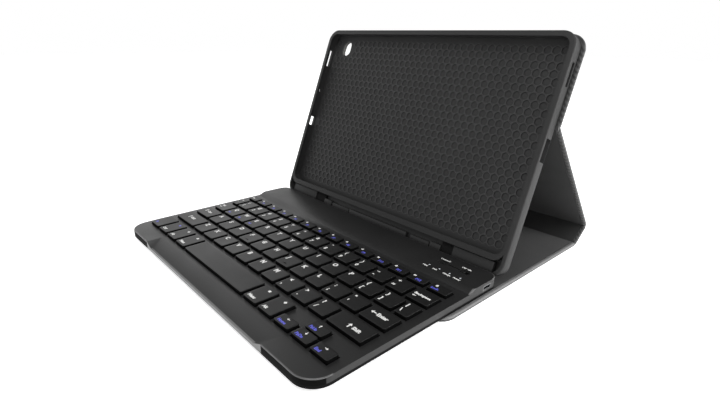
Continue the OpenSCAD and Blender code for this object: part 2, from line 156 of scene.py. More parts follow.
# ---- Painted highlight on the base's edge ----
# The front panel's hem and the top of its rolled edge are painted a lighter mid grey with a slight
# gloss: a painted highlight where that edge catches the light, so it reads as a pale line round the base.
EDGE_MOTTLE = 2.86
painted_highlight_edge, surface = new_material("twill_edge_painted_highlight", {"Roughness": 0.42})
spot = add(painted_highlight_edge, "Attribute", {"attribute_name": "cloth"}).outputs["Vector"]
edge_mottle = add(painted_highlight_edge, "TexNoise", {"Scale": noise_scale(EDGE_MOTTLE), "Detail": 3.0}, Vector=spot)
two_tone(painted_highlight_edge, surface, edge_mottle, [linear("#5a5a5a"), linear("#6a6a6a")], edge_mottle, 0.3, 0.1)

# ---- Lining cloth ----
# Brushed microfibre, glued over the boards and the twill's hem on the inside of the cover:
# dark grey and smooth, with a slight cloudy nap.
NAP_CLOUD = 16.7
FIBRE = 0.556
lining, surface = new_material(
    "microfibre_lining", {"Roughness": 0.62, "Sheen Weight": 0.25, "Sheen Roughness": 0.4})
where = add(lining, "Attribute", {"attribute_name": "cloth"}).outputs["Vector"]
nap = add(lining, "TexNoise", {"Scale": noise_scale(NAP_CLOUD), "Detail": 4.0}, Vector=where)
fibres = add(lining, "TexNoise", {"Scale": noise_scale(FIBRE), "Detail": 2.0}, Vector=where)
nap_colour = two_tone(lining, surface, nap, [linear("#1c1c1c"), linear("#252525")], fibres, 0.25, 0.1)
nap_colour.color_ramp.elements[0].position = 0.3
nap_colour.color_ramp.elements[1].position = 0.7

# ---- Cover panels ----
# Each panel is a stiff board with the twill pulled round its edges and glued down as a hem,
# and the lining laid over the hem. Both are placed on the board by the cover's three folds.
COVER_T = 3.2
CLOTH_T = 0.7
LINING_T = 0.8
HEM = 2.4
LINING_GAP = 0.2
EDGE_ROLL = 1.4
FOLD_GAP = 0.6
CORNER_R = 12.0
folds = {j["name"]: Vector(j["pos_m"]) for j in frame["joints"] if j["type"] == "hinge"}
cover_low, cover_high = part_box("front_cover_skin")
COVER_W = (cover_high.x - cover_low.x) / MM


def slope_of(node):
    """Slope of a flat panel up from the table, from its largest face."""
    face = max(frame["nodes"][node].data.polygons, key=lambda p: p.area)
    return math.atan2(-face.normal.y, face.normal.z) % math.pi


def on_fold(fold, slope, lift):
    """Takes a panel lying flat, with its fold at y = 0, to its place on that fold."""
    return (
        Matrix.Translation(folds[fold])
        @ Matrix.Rotation(slope, 4, "X")
        @ Matrix.Translation((0, 0, -lift * MM))
    )


def keep_unfolded(bm, start):
    """Stores where each point lies on the flat, unfolded cover, in metres."""
    layer = bm.verts.layers.float_vector.new("cloth")
    for vert in bm.verts:
        vert[layer] = (vert.co.x, vert.co.y + start * MM, vert.co.z)


def finish(bm, name, materials, place=None):
    """Turns a bmesh into an object at the origin, with its place in its mesh."""
    if place is not None:
        bmesh.ops.transform(bm, matrix=place, verts=bm.verts)
    mesh = bpy.data.meshes.new(name)
    bm.to_mesh(mesh)
    bm.free()
    piece = bpy.data.objects.new(name, mesh)
    bpy.context.scene.collection.objects.link(piece)
    for material in materials:
        mesh.materials.append(material)
    mesh.polygons.foreach_set("use_smooth", [True] * len(mesh.polygons))
    return piece


def sharpen(piece, degrees=35):
    """Flat shading across edges sharper than this, smooth elsewhere."""
    piece.data.set_sharp_from_angle(angle=math.radians(degrees))
    return piece


def slab(width, y0, y1, z0, z1, radius=0.0, round_low=False, round_high=False):
    """A flat slab in millimetres, with round corners at its low or high end."""
    bm = bmesh.new()
    size = Vector((width, y1 - y0, z1 - z0)) * MM
    middle = Vector((0, (y0 + y1) / 2, (z0 + z1) / 2)) * MM
    bmesh.ops.create_cube(bm, size=1, matrix=Matrix.Translation(middle) @ Matrix.Diagonal((*size, 1)))
    corners = []
    for edge in bm.edges:
        a, b = edge.verts
        upright = abs(a.co.z - b.co.z) > 0.5 * size.z
        low = a.co.y < middle.y
        if upright and ((low and round_low) or (not low and round_high)):
            corners.append(edge)
    if corners:
        bmesh.ops.bevel(bm, geom=corners, offset=radius * MM, segments=12, profile=0.5,
                        affect="EDGES", material=-1)
    return bm


def level_edges(bm):
    """Edges round the top and bottom faces of a slab."""
    return [e for e in bm.edges
            if abs(e.verts[0].co.z - e.verts[1].co.z) < 1e-7 and len(e.link_faces) == 2
            and abs(e.link_faces[0].normal.dot(e.link_faces[1].normal)) < 0.9]


def wrapped_skin(y0, y1, open_low, open_high):
    """Twill round a board: flat outside, rolled edges and a hem turned onto the inside."""
    past = 3 * HEM
    low = y0 - past if open_low else y0
    high = y1 + past if open_high else y1
    bm = slab(COVER_W, low, high, 0, COVER_T, CORNER_R, not open_low, not open_high)
    bmesh.ops.bevel(bm, geom=level_edges(bm), offset=EDGE_ROLL * MM, segments=4, profile=0.5,
                    affect="EDGES", material=-1)
    inside = max((f for f in bm.faces if f.normal.z > 0.99), key=lambda f: f.calc_area())
    bmesh.ops.inset_region(bm, faces=[inside], thickness=(HEM - EDGE_ROLL) * MM)
    bmesh.ops.delete(bm, geom=[inside], context="FACES")
    for is_open, y, way in ((open_low, y0, -1), (open_high, y1, 1)):
        if is_open:
            geom = bm.verts[:] + bm.edges[:] + bm.faces[:]
            bmesh.ops.bisect_plane(bm, geom=geom, dist=1e-7, plane_co=(0, y * MM, 0),
                                   plane_no=(0, way, 0), clear_outer=True)
    bmesh.ops.recalc_face_normals(bm, faces=bm.faces)
    return bm


def thicken(bm, thickness):
    """Gives an open sheet its thickness, inwards."""
    bmesh.ops.solidify(bm, geom=bm.faces[:], thickness=thickness * MM)
    return bm


# The length of each panel, from the folds that the frame gives.
slopes = {"spine": slope_of("spine_skin"), "stand": slope_of("stand_panel_skin"),
          "back": slope_of("back_panel_skin")}
FRONT_LEN = (folds["spine_fold"].y - cover_low.y) / MM
SPINE_LEN = (folds["stand_fold"] - folds["spine_fold"]).length / MM
stand_out = Vector((0, math.sin(slopes["stand"]), -math.cos(slopes["stand"])))
STAND_LEN = (folds["crease_fold"] - folds["stand_fold"] - stand_out * COVER_T * MM).length / MM
back_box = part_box("back_panel_skin")
BACK_LEN = ((back_box[1].z - folds["crease_fold"].z) / math.sin(slopes["back"])) / MM
places = {
    "front": Matrix.Translation((0, folds["spine_fold"].y, 0)),
    "spine": on_fold("spine_fold", slopes["spine"], COVER_T),
    "stand": on_fold("stand_fold", slopes["stand"], COVER_T),
    "back": on_fold("crease_fold", slopes["back"], 0),
}
# Name, body, span from its fold, whether each end is open, and where it starts on the flat cover.
panels = [
    ("front", "front_cover", -FRONT_LEN, -FOLD_GAP, False, True, FRONT_LEN),
    ("spine", "spine", FOLD_GAP, SPINE_LEN - FOLD_GAP, True, True, FRONT_LEN),
    ("stand", "stand_panel", FOLD_GAP, STAND_LEN - FOLD_GAP, True, True, FRONT_LEN + SPINE_LEN),
    ("back", "back_panel", FOLD_GAP, BACK_LEN, True, False, FRONT_LEN + SPINE_LEN + STAND_LEN),
]

# Camera window, cut clean through the back panel and the tray. Its height is measured from
# the bottom of the tray's lower wall, as the crease's is. Both cloths stop short of it.
CREASE_UP = 97.0
WINDOW = Vector((-104.8, 142.0))
WINDOW_SIZE = Vector((12.0, 14.0))
WINDOW_R = 5
SKIN_BACK, LINING_BACK = 0.6, 0.8


def cutter(centre, size, radius, grow=0.0, segments=6):
    """A block in millimetres with round upright corners, made wider all round by grow."""
    bm = bmesh.new()
    full = Vector((size[0] + 2 * grow, size[1] + 2 * grow, size[2])) * MM
    move = Matrix.Translation(Vector(centre) * MM)
    bmesh.ops.create_cube(bm, size=1, matrix=move @ Matrix.Diagonal((*full, 1)))
    upright = [e for e in bm.edges if abs(e.verts[0].co.z - e.verts[1].co.z) > 0.5 * full.z]
    if radius:
        bmesh.ops.bevel(bm, geom=upright, offset=(radius + grow) * MM, segments=segments,
                        profile=0.5, affect="EDGES", material=-1)
    return bm


def cut(bm, cutters):
    """Cuts closed shapes out of a closed mesh and returns the result as a new bmesh."""
    target = finish(bm, "cut_target", [])
    for shape in cutters:
        tool = finish(shape, "cut_tool", [])
        step = target.modifiers.new("cut", "BOOLEAN")
        step.operation = "DIFFERENCE"
        step.solver = "EXACT"
        step.object = tool
        bpy.context.view_layer.update()
        graph = bpy.context.evaluated_depsgraph_get()
        mesh = bpy.data.meshes.new_from_object(target.evaluated_get(graph))
        target.modifiers.clear()
        target.data = mesh
        bpy.data.objects.remove(tool)
    result = bmesh.new()
    result.from_mesh(target.data)
    bpy.data.objects.remove(target)
    return result


for name, body, y0, y1, open_low, open_high, start in panels:
    skin = thicken(wrapped_skin(y0, y1, open_low, open_high), CLOTH_T)
    inset = HEM + LINING_GAP
    sheet = slab(COVER_W - 2 * inset, y0 if open_low else y0 + inset, y1 if open_high else y1 - inset,
                 COVER_T - LINING_T, COVER_T, CORNER_R - HEM, not open_low, not open_high)
    if name == "back":
        window = (WINDOW.x, WINDOW.y - CREASE_UP, COVER_T / 2)
        block = (*WINDOW_SIZE, 2.5 * COVER_T)
        skin = cut(skin, [cutter(window, block, WINDOW_R, SKIN_BACK)])
        sheet = cut(sheet, [cutter(window, block, WINDOW_R, LINING_BACK)])
    keep_unfolded(skin, start)
    keep_unfolded(sheet, start)
    # The up-facing faces of the front panel's twill, its hem and the top of its rolled edge, take the painted
    # highlight.
    if name == "front":
        skin.normal_update()
        for face in skin.faces:
            face.material_index = 1 if face.normal.z > 0.1 else 0
    skin_piece = finish(skin, name + "_panel_twill", [twill, painted_highlight_edge], places[name])
    sheet_piece = finish(sheet, name + "_panel_lining_cloth", [lining], places[name])
    prefix = {"front": "front_cover", "spine": "spine"}.get(name, name + "_panel")
    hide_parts(prefix + "_skin")
    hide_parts(prefix + "_lining")
    for piece in (skin_piece, sheet_piece):
        sharpen(piece)
        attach(piece, body)

# ---- Cloth across the folds ----
# Bare twill and lining bonded together where the boards stop. Outside each fold the cloth
# bends in an arc; inside, it hinges on a line. It stops END_IN short of the sides of the two
# panels it joins.
END_IN = 0.7
DEGREES_A_STEP = 9


def fold_strip(pivot_z, angle):
    """Cross-section swept round a fold line, drawn flat at y = 0 and bent by angle."""
    bm = bmesh.new()
    far = 0.0 if pivot_z else COVER_T
    steps = max(6, round(abs(math.degrees(angle)) / DEGREES_A_STEP))
    turns = [angle * i / steps for i in range(steps + 1)]
    reach = (far - pivot_z) * MM

    def bent(y, z, turn):
        return Vector((0, y * math.cos(turn) - z * math.sin(turn),
                       y * math.sin(turn) + z * math.cos(turn)))

    gap = FOLD_GAP * MM
    outline = [bent(-gap, 0, 0), bent(-gap, reach, 0)]
    outline += [bent(0, reach, turn) for turn in turns]
    outline += [bent(gap, reach, angle), bent(gap, 0, angle), Vector((0, 0, 0))]
    left = (-COVER_W / 2 + END_IN) * MM
    face = bm.faces.new([bm.verts.new(p + Vector((left, 0, 0))) for p in outline])
    grown = bmesh.ops.extrude_face_region(bm, geom=[face])
    ends = [v for v in grown["geom"] if isinstance(v, bmesh.types.BMVert)]
    bmesh.ops.translate(bm, vec=((COVER_W - 2 * END_IN) * MM, 0, 0), verts=ends)
    bmesh.ops.recalc_face_normals(bm, faces=bm.faces)
    inner_half = 0.45 * COVER_T * MM
    for side in bm.faces:
        centre = side.calc_center_median()
        inner = Vector((0, centre.y, centre.z)).length < inner_half
        side.material_index = 1 if inner and abs(side.normal.x) < 0.5 else 0
    layer = bm.verts.layers.float_vector.new("cloth")
    for vert in bm.verts:
        turn = math.atan2(vert.co.y, abs(reach))
        vert[layer] = (vert.co.x, turn * COVER_T * MM, vert.co.z)
    return bm


# Fold name, panels it joins, cover height of the fold line, slope before and bend at rest.
fold_pairs = [
    ("spine_fold", "front_cover", "spine", COVER_T, 0.0, slopes["spine"]),
    ("stand_fold", "spine", "stand_panel", COVER_T, slopes["spine"], slopes["stand"] - slopes["spine"]),
    ("crease_fold", "stand_panel", "back_panel", 0.0, slopes["stand"], slopes["back"] - slopes["stand"]),
]
for fold, body_a, body_b, pivot_z, before, bend in fold_pairs:
    strip = fold_strip(pivot_z, bend)
    place = Matrix.Translation(folds[fold]) @ Matrix.Rotation(before, 4, "X")
    piece = finish(strip, fold + "_cloth", [twill, lining], place)
    sharpen(piece, 50)
    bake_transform(piece)


# ---- Tablet tray ----
# One soft moulding of matte TPU: a floor with a honeycomb of shallow pits, walls, and a lip
# that the tablet is pressed behind. Slots in the walls let out sound and take plugs.
TPU_GRAIN = 0.385
TPU_CLOUD = 55.6


def moulded_tpu(name, low, high, roughness):
    """Soft TPU with the fine grain of its mould and faint clouds of colour."""
    material, surface = new_material(name, {"Roughness": roughness, "Specular IOR Level": 0.3})
    where = add(material, "TexCoord").outputs["Object"]
    grain = add(material, "TexNoise", {"Scale": noise_scale(TPU_GRAIN), "Detail": 2.0}, Vector=where)
    clouds = add(material, "TexNoise", {"Scale": noise_scale(TPU_CLOUD), "Detail": 3.0}, Vector=where)
    two_tone(material, surface, clouds, [linear(low), linear(high)], grain, 0.3, 0.08)
    return material


# Matte all over. The ridges are a touch glossier and painted lighter than the pits: a painted highlight on the
# ridges, with painted shade left in the pits.
tpu = moulded_tpu("moulded_tpu", "#212121", "#282828", 0.55)
painted_highlight_ridge_tpu = moulded_tpu("tpu_ridge_painted_highlight", "#2e2e2e", "#363636", 0.42)

TRAY_W, TRAY_H, TRAY_T = 252.0, 157.5, 9.4
TRAY_WALL, LIP_OVER, LIP_T, FLOOR_T = 3.0, 1.0, 1.0, 1.2
TRAY_R = 11.0
CELL = 6.3
PIT_DEPTH = 0.7
RIDGE = 0.45
CHIN = 11.5
CHIN_RIM = 2.6
CHIN_DIP = 6.0
FLOOR_Z = FLOOR_T - TRAY_T
lean = math.pi / 2 - slopes["back"]
tray_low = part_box("tablet_tray")[0]
chin_tip = Vector((0, tray_low.y, tray_low.z + TRAY_T * MM * math.sin(lean)))
on_tray = (
    Matrix.Translation(chin_tip)
    @ Matrix.Rotation(slopes["back"], 4, "X")
    @ Matrix.Translation((0, CHIN * MM, 0))
)


def rounded_block(width, y0, y1, z0, z1, radius, x=0.0):
    """A block in millimetres with round upright corners, centred on x."""
    return cutter((x, (y0 + y1) / 2, (z0 + z1) / 2), (width, y1 - y0, z1 - z0), radius, 0.0, 10)


def soften_rim(bm, height, offset):
    """Rounds every edge round a flat face that lies at the given height."""
    rim = [e for e in level_edges(bm)
           if abs(e.verts[0].co.z - height * MM) < 1e-6 and abs(e.verts[1].co.z - height * MM) < 1e-6]
    bmesh.ops.bevel(bm, geom=rim, offset=offset * MM, segments=3, profile=0.5, affect="EDGES", material=-1)


# Openings in the side walls. Each entry is its side, its place along the wall, its middle's
# height, its length and its height: side keys, two sound slots, a microphone and the plug.
KEYS_TOP = -2.2
wall_openings = [
    (1, 79, (FLOOR_Z + KEYS_TOP) / 2, 16, KEYS_TOP - FLOOR_Z),
    (1, 130, -5.1, 16, 3.0),
    (-1, 130, -5.2, 16, 3.6),
    (-1, 96.5, -4.4, 2.4, 2.4),
    (-1, 65, -4.8, 9, 5.2),
]
tray = slab(TRAY_W, -CHIN, TRAY_H, -TRAY_T, 0, TRAY_R, True, True)
soften_rim(tray, -TRAY_T, 1.6)
soften_rim(tray, 0, 1.0)
dip = rounded_block(TRAY_W - 2 * CHIN_RIM, CHIN_RIM - CHIN, TRAY_H / 2, -CHIN_DIP, 2, TRAY_R - CHIN_RIM)
frame_inside = rounded_block(TRAY_W - 2 * CHIN_RIM + 0.6, -0.3, TRAY_H, -CHIN_DIP - 1, 3, 9)
wall_x = TRAY_W / 2 - TRAY_WALL / 2
through = TRAY_WALL + 1.2
tray = cut(tray, [
    cut(dip, [frame_inside]),
    rounded_block(TRAY_W - 2 * TRAY_WALL, TRAY_WALL, TRAY_H - TRAY_WALL, FLOOR_Z, -LIP_T,
                  TRAY_R - TRAY_WALL),
    rounded_block(TRAY_W - 2 * (TRAY_WALL + LIP_OVER), TRAY_WALL + LIP_OVER,
                  TRAY_H - TRAY_WALL - LIP_OVER, -LIP_T - 0.5, 2, TRAY_R - TRAY_WALL - LIP_OVER),
    *(cutter((side * wall_x, along, middle_z), (through, length, tall), 0)
      for side, along, middle_z, length, tall in wall_openings),
    cutter((WINDOW.x, WINDOW.y, -TRAY_T), (*WINDOW_SIZE, 6), WINDOW_R),
])
floor_faces = [f for f in tray.faces if abs(f.normal.z) > 0.9
               and abs(f.calc_center_median().z - FLOOR_Z * MM) < 0.05 * MM]
bmesh.ops.delete(tray, geom=floor_faces, context="FACES")

# One honeycomb cell: a ridge round a shallow pit with soft corners, copied over the floor.
# The pit narrows from its mouth to its bottom. Each soft corner is three points, a few
# degrees apart, with the outer two drawn in.
MOUTH_IN, BOTTOM_IN = RIDGE + 0.25, RIDGE + 0.6
SOFT_TURN = 13
SOFT_SHARE = 0.985
cell_r = CELL / math.sqrt(3)


def hexagon(radius, height, soft=0.0):
    """Corners of a pointed-top hexagon, each cut into three points when soft."""
    points = []
    for i in range(6):
        for turn in ((-soft, 0.0, soft) if soft else (0.0,)):
            angle = math.radians(60 * i + 30 + turn)
            out = radius if not turn else radius * SOFT_SHARE
            points.append(Vector((out * math.cos(angle), out * math.sin(angle), height)) * MM)
    return points


cell = bmesh.new()
edge_ring = [cell.verts.new(p) for p in hexagon(cell_r, FLOOR_Z)]
top_ring = [cell.verts.new(p) for p in hexagon(cell_r - MOUTH_IN, FLOOR_Z, SOFT_TURN)]
low_ring = [cell.verts.new(p) for p in hexagon(cell_r - BOTTOM_IN, FLOOR_Z - PIT_DEPTH, SOFT_TURN)]
for i in range(6):
    nxt = (i + 1) % 6
    first, middle, last = (top_ring[3 * i + k] for k in range(3))
    # The ridge faces take the lighter colour, the painted highlight.
    for ridge in (
        (edge_ring[i], middle, first),
        (edge_ring[i], last, middle),
        (edge_ring[i], edge_ring[nxt], top_ring[3 * nxt], last),
    ):
        cell.faces.new(ridge).material_index = 1
for i in range(18):
    nxt = (i + 1) % 18
    cell.faces.new((top_ring[i], top_ring[nxt], low_ring[nxt], low_ring[i]))
cell.faces.new(low_ring)
row_step = CELL * math.sqrt(3) / 2
inner_w = TRAY_W - 2 * TRAY_WALL
inner_h = TRAY_H - 2 * TRAY_WALL
FLOOR_MARGIN = 3
columns = int((inner_w - FLOOR_MARGIN) / CELL)
rows = int((inner_h - FLOOR_MARGIN) / row_step)
CELL_CLEAR = 0.3
WINDOW_RIM = 0.4


def clear_of_edges(x, y):
    """True where a whole cell fits inside the walls' round corners and off the window."""
    keep = cell_r + CELL_CLEAR
    corner = TRAY_R - TRAY_WALL
    over_x = max(0.0, abs(x) - (inner_w / 2 - corner))
    over_y = max(0.0, abs(y - TRAY_H / 2) - (inner_h / 2 - corner))
    near_wall = math.hypot(over_x, over_y) > corner - keep
    near_window = (abs(x - WINDOW.x) < WINDOW_SIZE.x / 2 + keep + WINDOW_RIM
                   and abs(y - WINDOW.y) < WINDOW_SIZE.y / 2 + keep + WINDOW_RIM)
    return not near_wall and not near_window


cell_mesh = bpy.data.meshes.new("honeycomb_cell")
cell.to_mesh(cell_mesh)
cell.free()
comb = bmesh.new()
for j in range(rows + 1):
    for i in range(columns + 2):
        x = (i - (columns + 1) / 2 + 0.5 * (j % 2)) * CELL
        y = TRAY_H / 2 + (j - rows / 2) * row_step
        if clear_of_edges(x, y):
            first = len(comb.verts)
            comb.from_mesh(cell_mesh)
            comb.verts.ensure_lookup_table()
            bmesh.ops.translate(comb, vec=(x * MM, y * MM, 0), verts=comb.verts[first:])
bmesh.ops.remove_doubles(comb, verts=comb.verts, dist=0.02 * MM)
comb_mesh = bpy.data.meshes.new("honeycomb")
comb.to_mesh(comb_mesh)
comb.free()
tray.from_mesh(comb_mesh)
borders = [e for e in tray.edges if e.is_boundary]
bmesh.ops.triangle_fill(tray, use_beauty=True, use_dissolve=False, edges=borders, normal=(0, 0, 1))
bmesh.ops.recalc_face_normals(tray, faces=tray.faces)
tray_piece = sharpen(finish(tray, "honeycomb_tray", [tpu, painted_highlight_ridge_tpu], on_tray), 40)
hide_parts("tablet_tray")
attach(tray_piece, "back_panel")

# ---- Blocks in the chin ----
# Raised blocks of the same moulding that stand in the chin's dip and hold its magnets, and a
# near-black pad in each of the two notches beside them: painted shade, for the deep shadow there.
# Each entry is a block's left, right, top edge and how deep its face lies.
# The notch pads are painted near black, a painted shade.
notch_shade = moulded_tpu("notch_painted_shade", "#040404", "#080808", 0.9)
shade_pads = [(-80.4, -67.1, -0.9, 2.7), (73.1, 83.9, -0.9, 2.7)]
blocks = [
    (-67, 73, -0.9, 4.5), (-30.5, 38.5, -4.8, 1.2),
    (-117.2, -80.5, -0.9, 1.5), (-67, -56.5, -4.2, 1.5), (-54.8, -31.8, -5.2, 1.7),
    (84, 118, -0.9, 1.5), (63, 73, -4.2, 1.5), (43, 62, -5.2, 1.7),
]
BLOCK_FOOT = 1 - CHIN
BLOCK_ROOT = -CHIN_DIP - 0.4
chin_blocks = bmesh.new()
for left_x, right_x, top, down in blocks + shade_pads:
    block = rounded_block(right_x - left_x, BLOCK_FOOT, top, BLOCK_ROOT, -down, 0, (left_x + right_x) / 2)
    bmesh.ops.bevel(block, geom=block.edges[:], offset=0.25 * MM, segments=2, profile=0.5,
                    affect="EDGES", material=-1)
    for face in block.faces:
        face.material_index = 1 if (left_x, right_x, top, down) in shade_pads else 0
    block_mesh = bpy.data.meshes.new("block")
    block.to_mesh(block_mesh)
    block.free()
    chin_blocks.from_mesh(block_mesh)
piece = sharpen(finish(chin_blocks, "chin_magnet_blocks", [tpu, notch_shade], on_tray), 40)
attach(piece, "back_panel")

# ---- Keyboard shells ----
# Injection-moulded ABS with a fine spark-eroded texture. The top shell carries the key
# windows, the finger scoop and the raised rear bar; both shells have softened edges.
ABS_GRAIN = 0.3125
HANDLING = 40


def moulded_abs(name, low, high, roughness, level):
    """ABS with a fine moulded grain, and shine that drifts a little with handling."""
    material, surface = new_material(name, {"Specular IOR Level": level})
    where = add(material, "TexCoord").outputs["Object"]
    grain = add(material, "TexNoise", {"Scale": noise_scale(ABS_GRAIN), "Detail": 2.0}, Vector=where)
    handling = add(material, "TexNoise", {"Scale": noise_scale(HANDLING), "Detail": 5.0}, Vector=where)
    two_tone(material, surface, handling, [linear(low), linear(high)], grain, 0.22, 0.06)
    shine = add(material, "MapRange", {"From Min": 0.3, "From Max": 0.7, "To Min": roughness - 0.04,
                                       "To Max": roughness + 0.05}, Value=handling.outputs["Fac"])
    feed(material, shine.outputs["Result"], surface, "Roughness")
    return material


# The deck is satin black. Its polished rim and the scoop's front edge are painted a lighter grey, a
# painted highlight that reads as light lines; the front-facing walls and the bottom shell are painted
# darker and dead matte, a painted shade.
shell_abs = moulded_abs("textured_abs_shell", "#1a1a1a", "#202020", 0.4, 0.32)
# The bottom shell is painted darker with almost no shine, a painted shade.
lower_abs = moulded_abs("abs_base_painted_shade", "#0c0c0c", "#101010", 0.6, 0.04)
painted_highlight_abs = moulded_abs("abs_painted_highlight", "#484848", "#525252", 0.22, 0.6)
painted_highlight_scoop_abs = moulded_abs("abs_scoop_painted_highlight", "#585858", "#666666", 0.35, 0.4)
painted_shade_wall_abs = moulded_abs("abs_front_wall_painted_shade", "#0b0b0b", "#0f0f0f", 0.6, 0.02)

SCOOP_HALF = 84
SCOOP_ROUND = 1.2
RIM_ROUND = 0.6


def rim_with_painted_light(bm, joint_z):
    """Rounds the outer top edge of a shell, whose wall runs down to joint_z, and gives it the
    lighter colour of a painted highlight.

    The scoop's front edge is rounder, and painted lighter still, a painted highlight. The walls
    that face the front get the darker colour of a painted shade."""
    rim, scoop, walls = [], [], []
    for edge in bm.edges:
        if len(edge.link_faces) != 2:
            continue
        wall, top = sorted(edge.link_faces, key=lambda f: f.normal.z)
        deep = min(v.co.z for v in wall.verts) < joint_z
        outward = wall.normal.dot(Vector((*wall.calc_center_median().xy, 0))) > 0
        if abs(wall.normal.z) < 0.1 and top.normal.z > 0.7 and deep and outward:
            (scoop if top.normal.y < -0.2 and top.normal.z < 0.99 else rim).append(edge)
            walls.append(wall)
    for wall in walls:
        # Walls that face the front take the darker wall colour, a painted shade.
        if wall.normal.y < -0.2 and wall.material_index == 0:
            wall.material_index = 3
    # The scoop's front edge takes the scoop's painted highlight, and the rest of the rim takes the rim's.
    bmesh.ops.bevel(bm, geom=scoop, offset=SCOOP_ROUND * MM, segments=2, profile=0.5, affect="EDGES",
                    material=2)
    rim = [e for e in rim if e.is_valid]
    bmesh.ops.bevel(bm, geom=rim, offset=RIM_ROUND * MM, segments=3, profile=0.5, affect="EDGES",
                    material=1)


def paint_front_highlight(bm, index):
    """Paints the front wall below the scoop lighter, a painted highlight, cut off at the scoop's ends."""
    for x in (-SCOOP_HALF, SCOOP_HALF):
        geom = bm.verts[:] + bm.edges[:] + bm.faces[:]
        bmesh.ops.bisect_plane(bm, geom=geom, dist=1e-7, plane_co=(x * MM, 0, 0), plane_no=(1, 0, 0))
    front_y = min(v.co.y for v in bm.verts)
    for face in bm.faces:
        spot = face.calc_center_median()
        if face.normal.y < -0.9 and spot.y < front_y + 1 * MM and abs(spot.x) < SCOOP_HALF * MM:
            face.material_index = index


def softened(node, name, materials, width, joint_z=None, front=None):
    """A copy of a CAD node, welded and with its edges rounded by width millimetres."""
    bm = bmesh.new()
    bm.from_mesh(frame["nodes"][node].data)
    bmesh.ops.remove_doubles(bm, verts=bm.verts, dist=0.001 * MM)
    bmesh.ops.dissolve_limit(bm, angle_limit=math.radians(0.5), verts=bm.verts, edges=bm.edges)
    if front is not None:
        paint_front_highlight(bm, front)
    if joint_z is not None:
        rim_with_painted_light(bm, joint_z)
    piece = finish(bm, name, materials)
    rounding = piece.modifiers.new("edges", "BEVEL")
    rounding.width = width * MM
    rounding.segments = 2
    rounding.limit_method = "ANGLE"
    rounding.angle_limit = math.radians(30)
    piece.modifiers.new("flat_faces", "WEIGHTED_NORMAL")
    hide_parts(node)
    return piece


# The rim is known by its wall, which runs down to where the two shells meet.
SPLIT_Z = 5.2
shells = [
    ("keyboard_top_shell", "top_shell", [shell_abs, painted_highlight_abs, painted_highlight_scoop_abs, painted_shade_wall_abs], 0.2, "shell_abs",
     (SPLIT_Z + 0.1) * MM, 2),
    ("keyboard_bottom_shell", "bottom_shell", [lower_abs, painted_highlight_scoop_abs], 0.4, "lower_abs", None, 1),
]
for node, name, materials, width, slot, joint_z, front in shells:
    piece = softened(node, name, materials, width, joint_z, front)
    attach(piece, "keyboard")

# ---- Key caps ----
# Low square caps of satin ABS, with softened rims and a faint dish, each snapped onto its
# scissor frame. Each row of plain keys is one piece, since its caps move together.
CAP_CORNER = 1.2
CAP_RIM = 0.3
DISH_IN, DISH_DEPTH = 1.3, 0.06
CAP_WALL = 1.0
POCKET = 1.8
HOMING_BAR = Vector((3.2, 0.7, 0.5))

# The top takes a soft broad highlight. The sides are painted near black and dead matte, a painted
# shade, so each cap has a black outline.
key_abs = moulded_abs("satin_abs_key", "#111111", "#161616", 0.42, 0.26)
painted_shade_side_abs = moulded_abs("matte_abs_skirt", "#070707", "#0b0b0b", 0.7, 0.02)


def key_boxes(node):
    """Lowest and highest corners of the separate caps in a node, from left to right."""
    bm = bmesh.new()
    bm.from_mesh(frame["nodes"][node].data)
    bmesh.ops.remove_doubles(bm, verts=bm.verts, dist=0.001 * MM)
    left_over = set(bm.verts)
    boxes = []
    while left_over:
        group, waiting = set(), [left_over.pop()]
        while waiting:
            vert = waiting.pop()
            group.add(vert)
            near = {e.other_vert(vert) for e in vert.link_edges} & left_over
            left_over -= near
            waiting.extend(near)
        xs, ys, zs = zip(*(v.co for v in group))
        boxes.append((Vector((min(xs), min(ys), min(zs))), Vector((max(xs), max(ys), max(zs)))))
    bm.free()
    return sorted(boxes, key=lambda b: b[0].x)


def add_cap(bm, low, high):
    """One cap: round corners, soft top rim, a faint dish, and a pocket below."""
    fresh = bmesh.new()
    size, middle = high - low, (high + low) / 2
    bmesh.ops.create_cube(fresh, size=1, matrix=Matrix.Translation(middle) @ Matrix.Diagonal((*size, 1)))
    upright = [e for e in fresh.edges if abs(e.verts[0].co.z - e.verts[1].co.z) > 0.5 * size.z]
    bmesh.ops.bevel(fresh, geom=upright, offset=CAP_CORNER * MM, segments=4, profile=0.5,
                    affect="EDGES", material=-1)
    top = max(fresh.faces, key=lambda f: f.calc_center_median().z)
    bmesh.ops.bevel(fresh, geom=list(top.edges), offset=CAP_RIM * MM, segments=3, profile=0.5,
                    affect="EDGES", material=-1)
    fresh.normal_update()
    top = max((f for f in fresh.faces if f.normal.z > 0.9), key=lambda f: f.calc_area())
    bmesh.ops.inset_region(fresh, faces=[top], thickness=DISH_IN * MM, depth=-DISH_DEPTH * MM)
    base = max((f for f in fresh.faces if f.normal.z < -0.9), key=lambda f: f.calc_area())
    bmesh.ops.inset_region(fresh, faces=[base], thickness=CAP_WALL * MM)
    grown = bmesh.ops.extrude_face_region(fresh, geom=[base])
    bmesh.ops.delete(fresh, geom=[base], context="FACES")
    roof = next(g for g in grown["geom"] if isinstance(g, bmesh.types.BMFace))
    bmesh.ops.translate(fresh, vec=(0, 0, POCKET * MM), verts=roof.verts)
    fresh.normal_update()
    # The cap's sides take the near-black painted shade.
    for face in fresh.faces:
        face.material_index = 1 if abs(face.normal.z) < 0.3 else 0
    mesh = bpy.data.meshes.new("cap")
    fresh.to_mesh(mesh)
    fresh.free()
    bm.from_mesh(mesh)
    bpy.data.meshes.remove(mesh)


